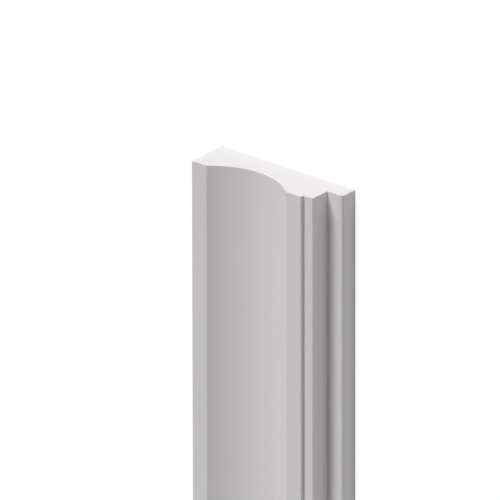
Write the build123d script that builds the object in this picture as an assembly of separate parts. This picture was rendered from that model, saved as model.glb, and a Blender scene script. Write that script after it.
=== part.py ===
from build123d import *
import os

# A length of wall panel moulding that lies on its flat back: X across the face, Y along the length, Z up.
# Across the face from -X to +X there is a lip, a wide shallow cove, a raised band, a fillet that a small
# quirk sets back from the band, and a ledge at the foot of a deep step. All sizes are in millimetres.

# The length and the thickness from the back to the face of the band.
LENGTH = 2000.0
THICKNESS = 20.0

# The widths of the members, in order across the face.
LIP_WIDTH = 7.9
COVE_WIDTH = 42.6
BAND_WIDTH = 8.0
FILLET_WIDTH = 4.9
LEDGE_WIDTH = 8.2

# How deep the cove and the quirk go below the band, and how far the ledge stands above the back.
COVE_DEPTH = 8.3
QUIRK_DEPTH = 1.75
LEDGE_HEIGHT = 8.6

# How far the corners of the section are eased: the outer arrises, the softer nose of the ledge and the
# inner corners. A corner takes at most this share of the shortest face beside it.
ARRIS_RADIUS = 0.2
NOSE_RADIUS = 1.2
ROOT_RADIUS = 0.2
MOST_OF_A_FACE = 0.4

# What follows from these sizes.
WIDTH = LIP_WIDTH + COVE_WIDTH + BAND_WIDTH + FILLET_WIDTH + LEDGE_WIDTH
STEP_DEPTH = THICKNESS - QUIRK_DEPTH - LEDGE_HEIGHT


def section():
    """The cross-section, with its first axis across the face and its second up from the back."""
    lip_side = -WIDTH / 2
    cove_start = lip_side + LIP_WIDTH
    cove_end = cove_start + COVE_WIDTH
    quirk = cove_end + BAND_WIDTH
    step = quirk + FILLET_WIDTH
    ledge_side = step + LEDGE_WIDTH
    fillet_height = THICKNESS - QUIRK_DEPTH

    lip_back = (lip_side, 0)
    lip_top = (lip_side, THICKNESS)
    cove_near = (cove_start, THICKNESS)
    cove_far = (cove_end, THICKNESS)
    band_edge = (quirk, THICKNESS)
    quirk_root = (quirk, fillet_height)
    step_top = (step, fillet_height)
    step_root = (step, LEDGE_HEIGHT)
    nose = (ledge_side, LEDGE_HEIGHT)
    ledge_back = (ledge_side, 0)

    # Each corner with its radius and the faces that meet there.
    corners = [
        (lip_back, ARRIS_RADIUS, (THICKNESS, WIDTH)),
        (lip_top, ARRIS_RADIUS, (THICKNESS, LIP_WIDTH)),
        (cove_near, ARRIS_RADIUS, (LIP_WIDTH, COVE_WIDTH)),
        (cove_far, ARRIS_RADIUS, (COVE_WIDTH, BAND_WIDTH)),
        (band_edge, ARRIS_RADIUS, (BAND_WIDTH, QUIRK_DEPTH)),
        (quirk_root, ROOT_RADIUS, (QUIRK_DEPTH, FILLET_WIDTH)),
        (step_top, ARRIS_RADIUS, (FILLET_WIDTH, STEP_DEPTH)),
        (step_root, ROOT_RADIUS, (STEP_DEPTH, LEDGE_WIDTH)),
        (nose, NOSE_RADIUS, (LEDGE_WIDTH, LEDGE_HEIGHT)),
        (ledge_back, ARRIS_RADIUS, (LEDGE_HEIGHT, WIDTH)),
    ]

    with BuildSketch(Plane.XZ) as outline:
        with BuildLine():
            Polyline(cove_far, band_edge, quirk_root, step_top, step_root, nose, ledge_back)
            Polyline(ledge_back, lip_back, lip_top, cove_near)
            ThreePointArc(cove_near, ((cove_start + cove_end) / 2, THICKNESS - COVE_DEPTH), cove_far)
        make_face()
        for corner, radius, faces in corners:
            vertex = outline.vertices().sort_by_distance(corner)[0]
            fillet(vertex, min(radius, MOST_OF_A_FACE * min(faces)))
    return outline.sketch


def panel_moulding():
    """The section run along the length, half of it to each side of the middle."""
    return extrude(section(), LENGTH / 2, both=True)


os.makedirs("parts", exist_ok=True)
export_step(panel_moulding(), "parts/panel_moulding.step")
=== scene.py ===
import math

import bmesh
import bpy
from mathutils import Matrix, Vector


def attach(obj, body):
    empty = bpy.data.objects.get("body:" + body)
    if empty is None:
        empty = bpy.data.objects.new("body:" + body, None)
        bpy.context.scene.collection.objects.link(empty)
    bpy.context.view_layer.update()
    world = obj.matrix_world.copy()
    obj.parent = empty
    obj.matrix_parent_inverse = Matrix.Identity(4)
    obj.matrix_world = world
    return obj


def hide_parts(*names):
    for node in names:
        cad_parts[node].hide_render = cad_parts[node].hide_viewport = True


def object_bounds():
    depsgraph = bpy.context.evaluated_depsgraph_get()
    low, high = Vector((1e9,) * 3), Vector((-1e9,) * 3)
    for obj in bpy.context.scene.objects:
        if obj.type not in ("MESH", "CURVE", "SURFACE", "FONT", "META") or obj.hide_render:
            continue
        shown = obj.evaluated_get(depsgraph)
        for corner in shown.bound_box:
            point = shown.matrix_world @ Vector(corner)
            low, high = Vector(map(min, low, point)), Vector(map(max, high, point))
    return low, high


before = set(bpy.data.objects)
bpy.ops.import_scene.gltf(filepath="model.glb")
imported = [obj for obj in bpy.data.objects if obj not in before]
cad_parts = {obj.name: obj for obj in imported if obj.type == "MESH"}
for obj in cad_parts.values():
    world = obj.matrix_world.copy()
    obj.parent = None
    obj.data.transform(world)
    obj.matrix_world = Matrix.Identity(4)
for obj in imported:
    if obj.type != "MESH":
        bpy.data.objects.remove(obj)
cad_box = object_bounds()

# A length of white wall panel moulding that lies on its back on a white floor. Metres, in the part's frame:
# X across the face from the lip to the ledge, Y along the length, Z up.

MM = 0.001

# The part's overall sizes, from its solid.
WIDTH, LENGTH, THICKNESS = cad_box[1] - cad_box[0]

# The sizes of the section's members, as the solid has them. The cove takes the width that the others leave.
LIP_WIDTH = 7.9 * MM
BAND_WIDTH = 8.0 * MM
FILLET_WIDTH = 4.9 * MM
LEDGE_WIDTH = 8.2 * MM
COVE_WIDTH = WIDTH - LIP_WIDTH - BAND_WIDTH - FILLET_WIDTH - LEDGE_WIDTH
COVE_DEPTH = 8.3 * MM
QUIRK_DEPTH = 1.75 * MM
LEDGE_HEIGHT = 8.6 * MM
ARRIS_RADIUS = 0.2 * MM
NOSE_RADIUS = 1.2 * MM
ROOT_RADIUS = 0.2 * MM

# How finely the mesh follows the section, and its bays along the length.
CORNER_STEPS = 6
COVE_STEPS = 64
BAYS = 21

# The map that textures go through: the length cut into strips, laid one above the other, then the ends.
MAP_NAME = "OFBake"
STRIPS = 3
STRIP_LENGTH = LENGTH / STRIPS
MAP_GAP = 4 * MM
MAP_SIZE = STRIP_LENGTH + 2 * MAP_GAP

# The skin is the mesh's first material, and the sawn ends have its second.
SAWN_SLOT = 1

# The camera: which way it looks down on the face, the point in the middle of its picture, how far away that
# point is, and the width of the picture there.
VIEW_YAW = math.radians(39.25)
VIEW_PITCH = math.radians(24.08)
VIEW_ROLL = math.radians(-0.096)
VIEW_POINT = Vector((-11.43 * MM, 963.33 * MM, 11.55 * MM))
VIEW_DISTANCE = 9.5
VIEW_WIDTH = 208.41 * MM

# The lamps: the way to each as degrees round from +X and up from the floor, its strength and its spread.
LAMPS = {
    "key": (105, 35, 2.4, 20),
    "side": (0, 10, 0.25, 60),
    "back": (210, 30, 0.14, 60),
}

# The white of the room, and how strong it is as light.
WHITE = (1, 1, 1, 1)
ROOM_LIGHT = 0.108

# The white of the polymer where it is dullest and brightest, and how shiny it is.
SKIN_DARK = (0.862, 0.84, 0.854, 1)
SKIN_LIGHT = (0.878, 0.856, 0.87, 1)
# On the sawn ends the darker white is painted shade, laid in the hollows of the cut cells.
SAWN_PIT_SHADE = (0.838, 0.816, 0.83, 1)
SAWN_LIGHT = (0.88, 0.858, 0.872, 1)
SHINE = 0.4

# The skin's textures: how many lines of the die, grains and dull streaks there are to a metre along X, Y
# and Z, how many finer layers each has, how high the lines and the grains stand in millimetres, and how
# rough the skin is.
DIE_LINES = (900, 1.5, 900)
DIE_LINE_DETAIL = 3
DIE_LINE_HEIGHT = 0.03
GRAINS = (2200, 2200, 2200)
GRAIN_DETAIL = 1
GRAIN_HEIGHT = 0.02
STREAKS = (160, 1.2, 160)
STREAK_DETAIL = 3
SKIN_ROUGHNESS = (0.54, 0.68)

# The sawn ends' textures in the same way: the cells that are cut open, and the lines of the saw. The cells
# scatter light back the way that it came, as a powdery surface does.
CELLS = 2600
CELL_DEPTH = 0.04
SAW_LINES = (25, 25, 900)
SAW_LINE_DETAIL = 2
SAW_LINE_HEIGHT = 0.03
SAWN_ROUGHNESS = (0.75, 0.9)
SAWN_SCATTER = 1.0

# The range that most of a noise lies in, and how far from a cell's middle most of the cell lies.
NOISE_RANGE = (0.3, 0.7)
CELL_RANGE = (0.1, 0.6)

# The floor: its size, how bright it shows by itself, and what it adds to that where light falls. What it
# gives back to the part is plain white.
FLOOR_SIZE = 60
FLOOR_GLOW = 0.9
FLOOR_SHADE = (0.2, 0.2, 0.2, 1)


def arc(centre, start, end, steps):
    """The points of the shorter arc about centre from start to end, both of them included."""
    first = math.atan2(start.y - centre.y, start.x - centre.x)
    last = math.atan2(end.y - centre.y, end.x - centre.x)
    turn = (last - first + math.pi) % (2 * math.pi) - math.pi
    radius = (start - centre).length
    angles = [first + turn * i / steps for i in range(steps + 1)]
    return [centre + radius * Vector((math.cos(a), math.sin(a))) for a in angles]


def eased(before, corner, after, radius):
    """The arc that eases the corner between two flat faces."""
    one = (before - corner).normalized()
    other = (after - corner).normalized()
    half = one.angle(other) / 2
    reach = radius / math.tan(half)
    centre = corner + (one + other).normalized() * (radius / math.sin(half))
    return arc(centre, corner + one * reach, corner + other * reach, CORNER_STEPS)


def cove_arcs(middle):
    """The cove about its middle line, with the eased arrises where it meets the lip and the band."""
    radius = ((COVE_WIDTH / 2) ** 2 + COVE_DEPTH**2) / (2 * COVE_DEPTH)
    centre = Vector((middle, THICKNESS - COVE_DEPTH + radius))
    height = THICKNESS - ARRIS_RADIUS
    reach = math.sqrt((radius + ARRIS_RADIUS) ** 2 - (centre.y - height) ** 2)
    near = Vector((middle - reach, height))
    far = Vector((middle + reach, height))
    near_touch = centre + (near - centre) * (radius / (radius + ARRIS_RADIUS))
    far_touch = centre + (far - centre) * (radius / (radius + ARRIS_RADIUS))
    near_arris = arc(near, Vector((near.x, THICKNESS)), near_touch, CORNER_STEPS)
    far_arris = arc(far, far_touch, Vector((far.x, THICKNESS)), CORNER_STEPS)
    return near_arris + arc(centre, near_touch, far_touch, COVE_STEPS)[1:-1] + far_arris


def section():
    """The outline of the section as arcs in order, from the back of the lip over the face to the back of
    the ledge. The flat faces are the gaps between the arcs."""
    lip_side = -WIDTH / 2
    cove_start = lip_side + LIP_WIDTH
    quirk = cove_start + COVE_WIDTH + BAND_WIDTH
    step = quirk + FILLET_WIDTH
    ledge_side = step + LEDGE_WIDTH
    fillet_height = THICKNESS - QUIRK_DEPTH
    lip_back = Vector((lip_side, 0))
    lip_top = Vector((lip_side, THICKNESS))
    cove_near = Vector((cove_start, THICKNESS))
    cove_far = Vector((cove_start + COVE_WIDTH, THICKNESS))
    band_edge = Vector((quirk, THICKNESS))
    quirk_root = Vector((quirk, fillet_height))
    step_top = Vector((step, fillet_height))
    step_root = Vector((step, LEDGE_HEIGHT))
    nose = Vector((ledge_side, LEDGE_HEIGHT))
    ledge_back = Vector((ledge_side, 0))
    return [
        eased(ledge_back, lip_back, lip_top, ARRIS_RADIUS),
        eased(lip_back, lip_top, cove_near, ARRIS_RADIUS),
        cove_arcs(cove_start + COVE_WIDTH / 2),
        eased(cove_far, band_edge, quirk_root, ARRIS_RADIUS),
        eased(band_edge, quirk_root, step_top, ROOT_RADIUS),
        eased(quirk_root, step_top, step_root, ARRIS_RADIUS),
        eased(step_top, step_root, nose, ROOT_RADIUS),
        eased(step_root, nose, ledge_back, NOSE_RADIUS),
        eased(nose, ledge_back, lip_back, ARRIS_RADIUS),
    ]


def girth_marks(points):
    """How far round the outline each of its points lies, and last the whole way round."""
    marks = [0]
    for p, q in zip(points, points[1:] + points[:1]):
        marks.append(marks[-1] + (q - p).length)
    return marks


def map_row(number, girth):
    """How far up the map the row of that number starts, where each row is as high as the girth."""
    return MAP_GAP + number * (girth + MAP_GAP)


def add_skin(bm, uv, rings, flat_after, marks):
    """The faces along the length, from ring to ring, and where they lie on the map."""
    for bay, (ring, following) in enumerate(zip(rings, rings[1:])):
        row = bay * STRIPS // BAYS
        low = map_row(row, marks[-1])
        left = MAP_GAP + LENGTH * bay / BAYS - row * STRIP_LENGTH
        right = left + LENGTH / BAYS
        for i, flat in enumerate(flat_after):
            j = (i + 1) % len(ring)
            face = bm.faces.new((ring[i], ring[j], following[j], following[i]))
            face.smooth = not flat
            spots = [(left, marks[i]), (left, marks[i + 1]), (right, marks[i + 1]), (right, marks[i])]
            for loop, (along, around) in zip(face.loops, spots):
                loop[uv].uv = (along / MAP_SIZE, (low + around) / MAP_SIZE)


def add_ends(bm, uv, rings, low):
    """The sawn faces at both ends, with sharp edges, and where they lie on the map, from low upwards."""
    ends = [bm.faces.new(list(reversed(rings[0]))), bm.faces.new(rings[-1])]
    for number, end in enumerate(ends):
        end.normal_update()
        end.material_index = SAWN_SLOT
        for edge in end.edges:
            edge.smooth = False
        middle = MAP_GAP + WIDTH / 2 + number * (WIDTH + MAP_GAP)
        for loop in end.loops:
            loop[uv].uv = ((middle + loop.vert.co.x) / MAP_SIZE, (low + loop.vert.co.z) / MAP_SIZE)
    bmesh.ops.triangulate(bm, faces=ends)


def moulding_mesh():
    """The section run along the length, with smooth arcs, flat faces and a sawn face at each end."""
    arcs = section()
    points = [p for a in arcs for p in a]
    flat_after = []
    for a in arcs:
        flat_after += [False] * (len(a) - 1) + [True]
    marks = girth_marks(points)
    bm = bmesh.new()
    uv = bm.loops.layers.uv.new(MAP_NAME)
    rings = []
    for bay in range(BAYS + 1):
        y = LENGTH * (bay / BAYS - 0.5)
        rings.append([bm.verts.new((p.x, y, p.y)) for p in points])
    add_skin(bm, uv, rings, flat_after, marks)
    add_ends(bm, uv, rings, map_row(STRIPS, marks[-1]))
    mesh = bpy.data.meshes.new("moulding")
    bm.to_mesh(mesh)
    bm.free()
    return mesh


def add_node(tree, kind, inputs=(), **attributes):
    """A new shader node with these attributes. inputs gives an input a value, or another node's output."""
    made = tree.nodes.new(kind)
    for name, value in attributes.items():
        setattr(made, name, value)
    for name, value in dict(inputs).items():
        if isinstance(value, bpy.types.NodeSocket):
            tree.links.new(value, made.inputs[name])
        else:
            made.inputs[name].default_value = value
    return made


def noise(tree, place, grains, detail):
    """Soft noise with that many grains to a metre along X, Y and Z, and that many finer layers."""
    fitted = add_node(tree, "ShaderNodeMapping", {"Vector": place, "Scale": grains})
    inputs = {"Vector": fitted.outputs[0], "Scale": 1.0, "Detail": detail}
    return add_node(tree, "ShaderNodeTexNoise", inputs).outputs["Fac"]


def cells(tree, place, count):
    """How far each point is from the middle of its cell, with that many cells to a metre."""
    inputs = {"Vector": place, "Scale": count}
    return add_node(tree, "ShaderNodeTexVoronoi", inputs).outputs["Distance"]


def spread(tree, value, usual, wanted):
    """A texture's usual range spread over the wanted one."""
    ranges = {"From Min": usual[0], "From Max": usual[1], "To Min": wanted[0], "To Max": wanted[1]}
    return add_node(tree, "ShaderNodeMapRange", {"Value": value, **ranges}).outputs[0]


def tone(tree, value, usual, dark, light):
    """A texture's usual range as colours from dark to light."""
    ramp = add_node(tree, "ShaderNodeValToRGB", {"Fac": value})
    for stop, position, colour in zip(ramp.color_ramp.elements, usual, (dark, light)):
        stop.position = position
        stop.color = colour
    return ramp.outputs["Color"]


def relief(tree, *heights):
    """The normal of a surface with several textures on it, each given with its height in millimetres."""
    total = 0.0
    for value, height in heights:
        inputs = {0: value, 1: height, 2: total}
        total = add_node(tree, "ShaderNodeMath", inputs, operation="MULTIPLY_ADD").outputs[0]
    inputs = {"Distance": MM, "Height": total}
    return add_node(tree, "ShaderNodeBump", inputs).outputs["Normal"]


def new_polymer(name):
    """A material of the polymer, with its tree, its shader and where on the part each point is."""
    material = bpy.data.materials.new(name)
    material.use_nodes = True
    tree = material.node_tree
    shader = tree.nodes["Principled BSDF"]
    shader.inputs["Specular IOR Level"].default_value = SHINE
    place = add_node(tree, "ShaderNodeTexCoord").outputs["Object"]
    return material, tree, shader, place


def skin_material():
    """The matte skin: faint lines that the die drew along the length, a fine grain and an uneven white."""
    material, tree, shader, place = new_polymer("polymer_skin")
    drawn = noise(tree, place, DIE_LINES, DIE_LINE_DETAIL)
    grain = noise(tree, place, GRAINS, GRAIN_DETAIL)
    dull = noise(tree, place, STREAKS, STREAK_DETAIL)
    tree.links.new(tone(tree, dull, NOISE_RANGE, SKIN_DARK, SKIN_LIGHT), shader.inputs["Base Color"])
    tree.links.new(spread(tree, drawn, NOISE_RANGE, SKIN_ROUGHNESS), shader.inputs["Roughness"])
    heights = relief(tree, (drawn, DIE_LINE_HEIGHT), (grain, GRAIN_HEIGHT))
    tree.links.new(heights, shader.inputs["Normal"])
    return material


def sawn_material():
    """The sawn end: fine closed cells, cut open, and faint saw lines across the width."""
    material, tree, shader, place = new_polymer("polymer_sawn")
    pits = cells(tree, place, CELLS)
    kerf = noise(tree, place, SAW_LINES, SAW_LINE_DETAIL)
    # The cut cells are painted darker towards their middles, where the bumps dip: painted shade in their
    # hollows.
    tree.links.new(tone(tree, pits, CELL_RANGE, SAWN_PIT_SHADE, SAWN_LIGHT), shader.inputs["Base Color"])
    tree.links.new(spread(tree, kerf, NOISE_RANGE, SAWN_ROUGHNESS), shader.inputs["Roughness"])
    heights = relief(tree, (pits, CELL_DEPTH), (kerf, SAW_LINE_HEIGHT))
    tree.links.new(heights, shader.inputs["Normal"])
    shader.inputs["Diffuse Roughness"].default_value = SAWN_SCATTER
    return material


def seen_directly(tree):
    """One for rays that show the background: straight from the camera, or by way of gloss or glass."""
    path = add_node(tree, "ShaderNodeLightPath")
    total = path.outputs["Is Camera Ray"]
    for name in ("Is Glossy Ray", "Is Transmission Ray"):
        inputs = {0: total, 1: path.outputs[name]}
        total = add_node(tree, "ShaderNodeMath", inputs, operation="MAXIMUM").outputs[0]
    return total


def floor_material():
    """A white floor that keeps a faint shadow where it shows and returns plain light to the part."""
    material = bpy.data.materials.new("floor_white")
    material.use_nodes = True
    tree = material.node_tree
    tree.nodes.clear()
    glow = add_node(tree, "ShaderNodeEmission", {"Strength": FLOOR_GLOW})
    shade = add_node(tree, "ShaderNodeBsdfDiffuse", {"Color": FLOOR_SHADE})
    shown = add_node(tree, "ShaderNodeAddShader", {0: glow.outputs[0], 1: shade.outputs[0]})
    bounce = add_node(tree, "ShaderNodeBsdfDiffuse", {"Color": WHITE})
    inputs = {0: seen_directly(tree), 1: bounce.outputs[0], 2: shown.outputs[0]}
    mix = add_node(tree, "ShaderNodeMixShader", inputs)
    add_node(tree, "ShaderNodeOutputMaterial", {"Surface": mix.outputs[0]})
    return material


def add_moulding():
    """The visible moulding in place of the plain solid."""
    mesh = moulding_mesh()
    mesh.materials.append(skin_material())
    mesh.materials.append(sawn_material())
    piece = bpy.data.objects.new("moulding", mesh)
    bpy.context.scene.collection.objects.link(piece)
    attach(piece, "root")
    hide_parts("panel_moulding")


def add_floor():
    """The level floor that the moulding lies on."""
    half = FLOOR_SIZE / 2
    mesh = bpy.data.meshes.new("floor")
    corners = [(-half, -half, 0), (half, -half, 0), (half, half, 0), (-half, half, 0)]
    mesh.from_pydata(corners, [], [(0, 1, 2, 3)])
    mesh.materials.append(floor_material())
    floor = bpy.data.objects.new("floor", mesh)
    bpy.context.scene.collection.objects.link(floor)


def add_lamps():
    """Soft lamps that are far away, so that they light the whole length alike."""
    for name, (round_from_x, up, strength, wide) in LAMPS.items():
        lamp = bpy.data.lights.new(name, "SUN")
        lamp.energy = strength
        lamp.angle = math.radians(wide)
        flat = math.cos(math.radians(up))
        turn = math.radians(round_from_x)
        way = Vector((math.cos(turn) * flat, math.sin(turn) * flat, math.sin(math.radians(up))))
        holder = bpy.data.objects.new(name, lamp)
        holder.rotation_mode = "QUATERNION"
        holder.rotation_quaternion = way.to_track_quat("Z", "Y")
        bpy.context.scene.collection.objects.link(holder)


def add_room():
    """A room that is white where it shows and dimmer as light."""
    world = bpy.data.worlds.new("room")
    world.use_nodes = True
    tree = world.node_tree
    tree.nodes.clear()
    light = add_node(tree, "ShaderNodeBackground", {"Color": WHITE, "Strength": ROOM_LIGHT})
    shown = add_node(tree, "ShaderNodeBackground", {"Color": WHITE})
    inputs = {0: seen_directly(tree), 1: light.outputs[0], 2: shown.outputs[0]}
    mix = add_node(tree, "ShaderNodeMixShader", inputs)
    add_node(tree, "ShaderNodeOutputWorld", {"Surface": mix.outputs[0]})
    bpy.context.scene.world = world


def add_camera():
    """A long lens that looks down on the face at the photograph's angle."""
    flat = math.cos(VIEW_PITCH)
    back = Vector((math.sin(VIEW_YAW) * flat, math.sin(VIEW_PITCH), math.cos(VIEW_YAW) * flat))
    level = Vector((math.cos(VIEW_YAW), 0, -math.sin(VIEW_YAW)))
    right = Matrix.Rotation(VIEW_ROLL, 3, back) @ level
    axes = Matrix((right, back.cross(right), back)).transposed()
    lens = bpy.data.cameras.new("camera")
    lens.lens = lens.sensor_width * VIEW_DISTANCE / VIEW_WIDTH
    camera = bpy.data.objects.new("camera", lens)
    camera.matrix_world = Matrix.Translation(VIEW_POINT + back * VIEW_DISTANCE) @ axes.to_4x4()
    bpy.context.scene.collection.objects.link(camera)
    bpy.context.scene.camera = camera


add_moulding()
add_floor()
add_lamps()
add_room()
add_camera()
bpy.context.scene.view_settings.view_transform = "Standard"
